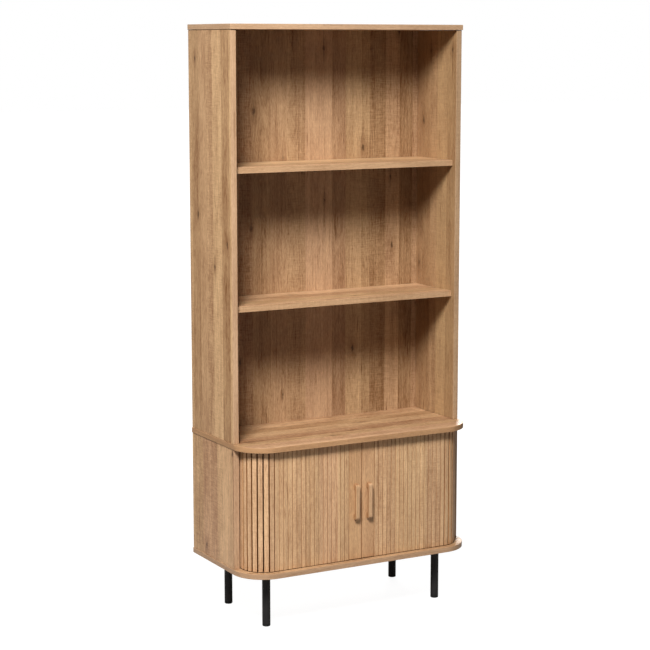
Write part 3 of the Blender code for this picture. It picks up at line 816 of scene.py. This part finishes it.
def painted(tree, geometry, material):
    return node(tree, "GeometryNodeSetMaterial", {"Geometry": geometry, "Material": material})


def closed_extrusion(flat, offset):
    """A flat face extruded by an offset, with its starting face kept, turned over, as the far side."""
    raised = node(tambour, "GeometryNodeExtrudeMesh", {"Mesh": flat, "Offset": offset, "Individual": False})
    under = node(tambour, "GeometryNodeFlipFaces", {"Mesh": flat})
    return node(tambour, "GeometryNodeMergeByDistance", {"Geometry": join(raised, under), "Distance": 1e-5})


def upright_strip(width, thickness, height, face_back, radius):
    """A closed strip that stands on end, with rounded long edges, its face this far behind the slats' faces."""
    section = node(tambour, "GeometryNodeCurvePrimitiveQuadrilateral", {"Width": width, "Height": thickness})
    rounded = {"Curve": section, "Count": 4, "Radius": radius}
    section = node(tambour, "GeometryNodeFilletCurve", rounded, mode="POLY")
    face = node(tambour, "GeometryNodeFillCurve", {"Curve": section}, mode="NGONS")
    middle = calc(tambour, "MULTIPLY_ADD", thickness, 0.5, face_back)
    middle = calc(tambour, "SUBTRACT", middle, slat_face)
    place = combine(tambour, 0.0, middle, calc(tambour, "MULTIPLY", height, -0.5))
    face = node(tambour, "GeometryNodeTransform", {"Geometry": face, "Translation": place})
    return closed_extrusion(face, up(height))


slat_face = calc(tambour, "MULTIPLY_ADD", given["Cloth Thickness"], 0.5, given["Slat Thickness"])
body = upright_strip(given["Slat Width"], given["Slat Thickness"], given["Slat Height"], 0.0, given["Edge Radius"])
tongue_width = calc(tambour, "MULTIPLY", given["Slat Width"], 0.9)
tongue = upright_strip(
    tongue_width, given["Tongue Thickness"], given["Tongue Height"], given["Tongue Back"], given["Edge Radius"]
)
point_y = split(tambour, node(tambour, "GeometryNodeInputPosition"))[1]
depth = calc(tambour, "DIVIDE", calc(tambour, "ADD", point_y, slat_face), given["Slat Thickness"])
slat = store(join(body, tongue), "slat_depth", depth)

# %% The tambour tree: the row of slats and the cloth
points = node(tambour, "GeometryNodePoints", {"Count": given["Slats"]})
index = node(tambour, "GeometryNodeInputIndex")
steps = calc(tambour, "MULTIPLY", calc(tambour, "ADD", index, 0.5), given["Slat Pitch"])
at_length = {"Curves": given["Line"], "Length": calc(tambour, "ADD", given["Start"], steps)}
sample = node(tambour, "GeometryNodeSampleCurve", at_length, mode="LENGTH", use_all_curves=True)
placed = node(tambour, "GeometryNodeSetPosition", {"Geometry": points, "Position": sample.outputs["Position"]})
along_line = {"Vector": sample.outputs["Tangent"]}
turned_by = node(tambour, "FunctionNodeAlignRotationToVector", along_line, axis="X", pivot_axis="Z")
luck = node(tambour, "FunctionNodeRandomValue", {"ID": index, "Seed": given["Seed"]}, data_type="FLOAT")
toned = store(placed, "slat_tone", luck.outputs[1])
on_line = {"Points": toned, "Instance": slat, "Rotation": turned_by}
row = node(tambour, "GeometryNodeInstanceOnPoints", on_line)
real_row = node(tambour, "GeometryNodeRealizeInstances", {"Geometry": row})
slats_out = painted(tambour, real_row, given["Slat Material"])

run = calc(tambour, "MULTIPLY", given["Slats"], given["Slat Pitch"])
stretch = node(tambour, "GeometryNodeTrimCurve", {"Curve": given["Line"]}, mode="LENGTH")
feed(tambour, stretch.inputs[4], given["Start"])
feed(tambour, stretch.inputs[5], calc(tambour, "ADD", given["Start"], run))
line_low = calc(tambour, "MULTIPLY", given["Cloth Height"], -0.5)
lowered = node(tambour, "GeometryNodeTransform", {"Geometry": stretch, "Translation": up(line_low)})
edge = node(tambour, "GeometryNodeCurveToMesh", {"Curve": lowered})
raised = {"Mesh": edge, "Offset": up(given["Cloth Height"])}
strip = node(tambour, "GeometryNodeExtrudeMesh", raised, mode="EDGES")
outwards = scaled(tambour, node(tambour, "GeometryNodeInputNormal"), given["Cloth Thickness"])
cloth_out = painted(tambour, closed_extrusion(strip, outwards), given["Cloth Material"])
feed(tambour, result.inputs["Curtain"], join(slats_out, cloth_out))
print("tambour tree:", len(tambour.nodes), "nodes")

# %% [markdown]
# Each curtain is made in three stretches. The flat front run rides on the cabinet, with a mesh of its own; on the
# real door it bends round the corner when the door opens. The slats of the corner stay, as others take their place
# on the real door, and the tail slides back with the door.

# %% Curtains
SLAT_PITCH = 0.015
SLAT_GAP = 0.0010
STILE_WIDTH = 0.045
FLAT_SLATS = 17
CORNER_SLATS = 7
TAIL_SLATS = 1
CLOTH_MARGIN = 0.010
FRONT_SEEDS = {"left": 2422, "right": 553}  # light and dark slats in much the same order as the real ones
CORNER_SEEDS = {"left": 20, "right": 22}
TAIL_SEEDS = {"left": 30, "right": 32}
SLAT = {"Slat_Pitch": SLAT_PITCH, "Slat_Width": SLAT_PITCH - SLAT_GAP, "Slat_Thickness": SLAT_THICKNESS}
SLAT.update(Slat_Height=opening - 2 * SHOULDER_GAP, Slat_Material=slat_wood)
TONGUE = {"Tongue_Back": TONGUE_BACK, "Tongue_Thickness": TONGUE_THICKNESS, "Tongue_Height": tongue_height}
CLOTH = {"Cloth_Thickness": CLOTH_THICKNESS, "Cloth_Height": opening - 2 * CLOTH_MARGIN, "Cloth_Material": canvas}
line_y = board_low.y + CURTAIN_INSET + SLAT_THICKNESS + CLOTH_THICKNESS / 2
curtain_middle = (cupboard_low + cupboard_high) / 2


def curtain_line(side):
    """The line of the cloth, always with the outside of the cupboard on its right hand."""
    line = [(STILE_WIDTH, line_y)]
    line += arc((corner_x, turn_y), line_radius, 270, 360, CORNER_STEPS)
    line.append((corner_x + line_radius, track_rear))
    if side == "left":
        line = [(-x, y) for x, y in reversed(line)]
    length = sum(math.dist(a, b) for a, b in zip(line, line[1:]))
    return draw("curtain_line", line, curtain_middle, False), length


def grow(obj, tree, **values):
    """Runs a Geometry Nodes tree on an object and returns what it makes as a plain mesh."""
    modifier = obj.modifiers.new(tree.name, "NODES")
    modifier.node_group = tree
    sockets = {s.name: s.identifier for s in tree.interface.items_tree if s.in_out == "INPUT"}
    for label, value in values.items():
        modifier[sockets[label.replace("_", " ")]] = value
    mesh = evaluated_mesh(obj)
    obj.modifiers.remove(modifier)
    return mesh


def make_curtain(name, side, first, count, seed):
    line, length = curtain_line(side)
    start = first * SLAT_PITCH
    if side == "left":
        start = length - start - count * SLAT_PITCH
    mesh = grow(line, tambour, Slats=count, Start=start, Seed=seed, **SLAT, **TONGUE, **CLOTH)
    remove(line)
    return settle(to_object(name, mesh), None)


for side, sign in (("left", -1), ("right", 1)):
    flat = make_curtain("curtain_front_" + side, side, 0, FLAT_SLATS, FRONT_SEEDS[side])
    fit(flat, "cabinet", "oak_slats", *[f"curtain_{side}_{i}" for i in range(1, 7)])
    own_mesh(flat)
    corner = make_curtain("curtain_corner_" + side, side, FLAT_SLATS, CORNER_SLATS, CORNER_SEEDS[side])
    fit(corner, "cabinet", "oak_slats", f"curtain_{side}_corner")
    tail = make_curtain("curtain_tail_" + side, side, FLAT_SLATS + CORNER_SLATS, TAIL_SLATS, TAIL_SEEDS[side])
    fit(tail, "tail_" + side, "oak_slats", f"curtain_{side}_tail")

# %% [markdown]
# Legs, feet and mounting plates are turned shapes: half of a section, spun round an upright axis. The plate is
# screwed under the bottom board, the tube slips over its boss, and a plastic glide plugs the tube's lower end.

# %% Legs, plates and glides
TURN_STEPS = 64
LEG_WALL = 0.0015
PLUG_CLEARANCE = 0.0003
PLATE_EDGE, TUBE_EDGE, GLIDE_EDGE = 0.0006, 0.0003, 0.0004
GLIDE_ROUND = 0.0024  # the round on the sole of a glide
plate_centres = []


def spin(name, profile, x, y):
    """Spins a section, given as (radius, height) points, once round an upright axis."""
    mesh = bpy.data.meshes.new(name)
    shape = bmesh.new()
    points = [shape.verts.new((x + radius, y, height)) for radius, height in profile]
    edges = [shape.edges.new(pair) for pair in zip(points, points[1:])]
    once_round = {"cent": (x, y, 0), "axis": (0, 0, 1), "angle": 2 * math.pi, "steps": TURN_STEPS}
    bmesh.ops.spin(shape, geom=points + edges, use_merge=True, **once_round)
    close_up(shape, mesh)
    return to_object(name, mesh)


def soft_corner(radius, height, turn_up, size):
    """Three points that round an outer corner of a section, at its top or, with turn_up -1, at its bottom."""
    shoulder = (radius - size * 0.29, height - turn_up * size * 0.29)  # where a quarter round bulges most
    return [(radius - size, height), shoulder, (radius, height - turn_up * size)]


for corner in ("front_left", "front_right", "rear_left", "rear_right"):
    low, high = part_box("leg_" + corner)
    x, y = (low.x + high.x) / 2, (low.y + high.y) / 2
    outer = (high.x - low.x) / 2
    bore = outer - LEG_WALL
    plug = bore - PLUG_CLEARANCE
    tube_profile = [(bore, high.z), *soft_corner(outer, high.z, 1, TUBE_EDGE)]
    tube_profile += [*soft_corner(outer, low.z, -1, TUBE_EDGE)[::-1], (bore, low.z), (bore, high.z)]
    tube = settle(spin("leg_tube_" + corner, tube_profile, x, y), powder_black)
    fit(tube, "cabinet", "black_steel", "leg_" + corner)

    foot_low, foot_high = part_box("foot_" + corner)
    seat = low.z - PLUG_CLEARANCE
    glide_profile = [(0, foot_high.z), (plug, foot_high.z), (plug, seat), *soft_corner(outer, seat, 1, GLIDE_EDGE)]
    glide_profile += arc((outer - GLIDE_ROUND, GLIDE_ROUND), GLIDE_ROUND, 0, -90, 8) + [(0, foot_low.z)]
    glide = settle(spin("leg_glide_" + corner, glide_profile, x, y), glide_black)
    fit(glide, "cabinet", "black_plastic", "foot_" + corner)

    plate_low, plate_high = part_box("leg_plate_" + corner)
    rim = (plate_high.x - plate_low.x) / 2
    under = high.z + PLUG_CLEARANCE
    plate_profile = [(0, plate_high.z), (rim, plate_high.z), *soft_corner(rim, under, -1, PLATE_EDGE)[::-1]]
    plate_profile += [(plug, under), (plug, plate_low.z), (0, plate_low.z)]
    plate = settle(spin("leg_mount_" + corner, plate_profile, x, y), powder_black)
    fit(plate, "cabinet", "black_steel", "leg_plate_" + corner)
    plate_centres.append((x, y, under))

# %% [markdown]
# Three pan-head screws hold each plate. One head is made with its cross recess, and a second tree puts it on a
# ring of points round every leg, turned each time by a random angle, as screws are left by hand.

# %% Screws
SCREW_RADIUS = 0.0034
SCREW_HEIGHT = 0.0021
SCREW_TOP = 0.0004  # the head goes on this far above its rim
SCREW_DROP = 0.0002  # its rim is this far below the plate
SLOT_HALF, SLOT_REACH, SLOT_DEPTH = 0.00045, 0.0019, 0.0011  # the cross recess
CUTTER_START = -0.004  # below the head
SCREWS_PER_PLATE = 3
SCREW_CIRCLE = 0.020
head_profile = [(0, -SCREW_HEIGHT), *arc((0, 0), SCREW_RADIUS, -60, 0, 6)]
head_profile += [(SCREW_RADIUS, SCREW_TOP), (0, SCREW_TOP)]
head = spin("screw_head", head_profile, 0, 0)
for vertex in head.data.vertices:
    vertex.co.z = max(vertex.co.z, -SCREW_HEIGHT)
cross = []
for turn in range(4):
    a = math.radians(90 * turn)
    for px, py in ((SLOT_HALF, SLOT_HALF), (SLOT_REACH, SLOT_HALF), (SLOT_REACH, -SLOT_HALF)):
        cross.append((px * math.cos(a) + py * math.sin(a), -px * math.sin(a) + py * math.cos(a)))
recess = to_object("recess", outline_prism("recess", cross, CUTTER_START, -SCREW_HEIGHT + SLOT_DEPTH))
cut(head, recess)
settle(head, zinc)
remove(recess)

screws, given, result = node_group(
    "plate_screws",
    "GeometryNodeTree",
    [
        ("Plates", "Geometry", None),
        ("Screws", "Int", SCREWS_PER_PLATE),
        ("Circle Radius", "Float", SCREW_CIRCLE),
        ("Head", "Object", None),
        ("Seed", "Int", 5),
        ("Material", "Material", None),
    ],
    [("Screws", "Geometry")],
)
ring = node(screws, "GeometryNodeMeshCircle", {"Vertices": given["Screws"], "Radius": given["Circle Radius"]})
rings = node(screws, "GeometryNodeInstanceOnPoints", {"Points": given["Plates"], "Instance": ring})
spots = node(screws, "GeometryNodeRealizeInstances", {"Geometry": rings})
head_in = node(screws, "GeometryNodeObjectInfo", {"Object": given["Head"]})
any_turn = node(screws, "FunctionNodeRandomValue", {"Seed": given["Seed"]}, data_type="FLOAT")
any_turn.inputs[3].default_value = math.tau
turn_angle = combine(screws, 0.0, 0.0, any_turn.outputs[1])
on_spots = {"Points": spots, "Instance": head_in.outputs["Geometry"], "Rotation": turn_angle}
heads = node(screws, "GeometryNodeInstanceOnPoints", on_spots)
real_heads = node(screws, "GeometryNodeRealizeInstances", {"Geometry": heads})
feed(screws, result.inputs["Screws"], painted(screws, real_heads, given["Material"]))

plate_points = bpy.data.meshes.new("plate_points")
plate_points.from_pydata([(x, y, z - SCREW_DROP) for x, y, z in plate_centres], [], [])
carrier = to_object("plate_points", plate_points)
screw_mesh = grow(carrier, screws, Head=head, Material=zinc)
remove(carrier, head)
leg_screws = settle(to_object("leg_screws", screw_mesh), None)
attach(leg_screws, "cabinet")

# %% [markdown]
# The stage is a white floor in a white studio. The camera sees the background as plain white, with no extra light
# for it. The world itself only fills in the shadows, weakly and a little warmly, and glossy surfaces see half of
# the white, as a real studio's walls are dimmer than its backdrop.

# %% Floor and world
FLOOR_GREY = (0.46, 0.46, 0.46, 1)
FLOOR_GLOW = 1.43
NEAR, FAR = 1.0, 3.0  # metres from the middle of the floor
NEAR_GLOW, FAR_GLOW = 0.66, 0.8  # share of the glow in what the camera sees there
AMBIENT = 0.065  # what the world gives to matt surfaces
AMBIENT_COLOUR = (1.0, 0.88, 0.74, 1)
MIRRORED = 0.55  # what glossy surfaces see of it
WHITE = (1, 1, 1, 1)
FLOOR_REACH = 40
floor_corners = [(x * FLOOR_REACH, y * FLOOR_REACH, 0) for x, y in ((-1, -1), (1, -1), (1, 1), (-1, 1))]
floor_mesh = bpy.data.meshes.new("floor")
floor_mesh.from_pydata(floor_corners, [], [(0, 1, 2, 3)])
floor = to_object("floor", floor_mesh)
material, tree, _ = new_material("floor_white")
tree.nodes.clear()
matt = node(tree, "ShaderNodeBsdfDiffuse", {"Color": FLOOR_GREY})
glow = node(tree, "ShaderNodeEmission", {"Color": WHITE, "Strength": FLOOR_GLOW})
away = node(tree, "ShaderNodeVectorMath", {0: object_position(tree)}, operation="LENGTH").outputs["Value"]
rays = node(tree, "ShaderNodeLightPath").outputs
share = calc(tree, "MULTIPLY", rays["Is Camera Ray"], ramp(tree, away, NEAR, FAR, NEAR_GLOW, FAR_GLOW))
mixed = node(tree, "ShaderNodeMixShader", {0: share, 1: matt, 2: glow})
node(tree, "ShaderNodeOutputMaterial", {"Surface": mixed})
floor_mesh.materials.append(material)
floor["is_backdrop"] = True

world = bpy.data.worlds.new("studio")
bpy.context.scene.world = world
world.use_nodes = True
tree = world.node_tree
tree.nodes.clear()
rays = node(tree, "ShaderNodeLightPath").outputs
seen = calc(tree, "MAXIMUM", rays["Is Camera Ray"], rays["Is Transmission Ray"])
mirrored = calc(tree, "MULTIPLY", rays["Is Glossy Ray"], MIRRORED)
strength = calc(tree, "MAXIMUM", calc(tree, "MAXIMUM", seen, mirrored), AMBIENT)
tone = mix_colour(tree, seen, AMBIENT_COLOUR, WHITE)
background = node(tree, "ShaderNodeBackground", {"Color": tone, "Strength": strength})
node(tree, "ShaderNodeOutputWorld", {"Surface": background})

# %% [markdown]
# A large soft lamp stands high on the left, in front: its place was worked out from where the shelves' shadows
# begin and end on the back panels, and its size blurs them. A weaker one opposite the camera lights the sides that
# the photograph doesn't show. The camera stands where the boards' corners fall on the photograph's points.

# %% Lamps and camera
LAMP_SPREAD = math.radians(90)
CAMERA_PLACE = (-2.7547, -4.911, 1.7526)
CAMERA_TURN = (math.radians(81.268), 0.0, math.radians(-28.995))
LENS, SENSOR = 101.58, 36.0  # mm


def soft_box(name, place, aim, size, power):
    """A square soft lamp that points from its place at its aim."""
    data = bpy.data.lights.new(name, "AREA")
    data.shape = "SQUARE"
    data.size = size
    data.energy = power
    data.spread = LAMP_SPREAD
    lamp = to_object(name, data)
    lamp.location = place
    lamp.rotation_euler = (Vector(aim) - Vector(place)).to_track_quat("-Z", "Y").to_euler()


soft_box("front_lamp", (-2.15, -2.44, 3.70), (0.0, 0.0, 0.3), 1.15, 74)
soft_box("rear_lamp", (2.20, 3.95, 2.80), (0.0, 0.0, 0.8), 2.0, 45)

camera_data = bpy.data.cameras.new("camera")
camera_data.lens = LENS
camera_data.sensor_width = SENSOR
camera = to_object("camera", camera_data)
camera.location = CAMERA_PLACE
camera.rotation_euler = CAMERA_TURN
bpy.context.scene.camera = camera
bpy.context.scene.view_settings.view_transform = "Standard"

# %% [markdown]
# Last, the dressed model's box is printed. It should agree with the CAD model's box.

# %% Finish
low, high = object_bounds()
print("dressed box:", [round(v, 4) for v in (*low, *high)])
